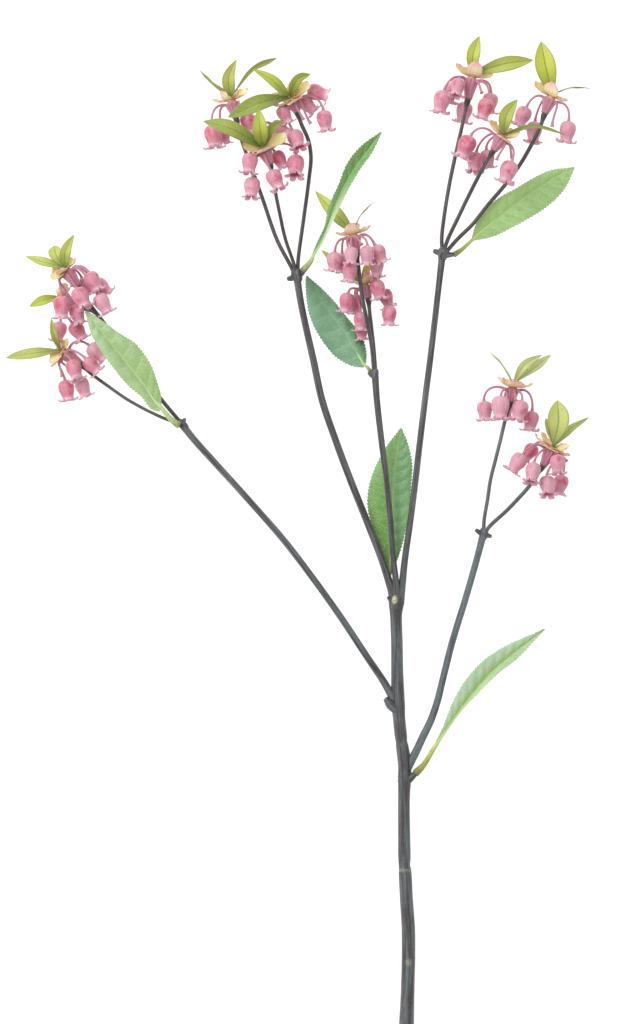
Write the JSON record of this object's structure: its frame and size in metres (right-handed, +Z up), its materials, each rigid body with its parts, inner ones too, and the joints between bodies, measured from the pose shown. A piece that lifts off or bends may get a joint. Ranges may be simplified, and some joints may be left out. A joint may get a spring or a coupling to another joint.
{
  "type": "flowering branch",
  "caption": "Cut flowering enkianthus branch lying flat, with nodding pink bells in clusters, bracts and toothed leaves.",
  "frame": {"origin": "on the surface that it lies on, under the middle of the branch's outer box", "axes": "+Y along the branch from the cut end to the blossoms, +X to the right of the branch seen from above, +Z up"},
  "size_m": [0.2936, 0.4953, 0.0521],
  "materials": {
    "bark": "smooth dark grey-brown bark with a blue-grey sheen",
    "mature_leaf": "satin leathery leaf with pale veins",
    "corolla": "waxy dusty-pink petal with light rims",
    "bract": "thin peach and cream bract",
    "young_leaf": "soft yellow-green young leaf"
  },
  "bodies": {
    "root": {"stem": "bark", "leaf_left": "mature_leaf", "leaf_upper_left": "mature_leaf", "leaf_middle": "mature_leaf", "leaf_fork": "mature_leaf", "leaf_upper_right": "mature_leaf", "leaf_low": "mature_leaf", "blossom_A": "corolla", "bracts_A": "bract", "young_leaves_A": "young_leaf", "blossom_B": "corolla", "bracts_B": "bract", "young_leaves_B": "young_leaf", "blossom_C": "corolla", "bracts_C": "bract", "young_leaves_C": "young_leaf", "blossom_D": "corolla", "bracts_D": "bract", "young_leaves_D": "young_leaf", "blossom_E": "corolla", "bracts_E": "bract", "young_leaves_E": "young_leaf", "blossom_F": "corolla", "bracts_F": "bract", "young_leaves_F": "young_leaf", "blossom_G": "corolla", "bracts_G": "bract", "young_leaves_G": "young_leaf", "blossom_H": "corolla", "bracts_H": "bract", "young_leaves_H": "young_leaf", "blossom_I": "corolla", "bracts_I": "bract", "young_leaves_I": "young_leaf", "blossom_J": "corolla", "bracts_J": "bract", "young_leaves_J": "young_leaf", "blossom_K": "corolla", "bracts_K": "bract", "young_leaves_K": "young_leaf", "blossom_L": "corolla", "bracts_L": "bract", "young_leaves_L": "young_leaf", "blossom_M": "corolla", "bracts_M": "bract", "young_leaves_M": "young_leaf"}
  },
  "joints": []
}
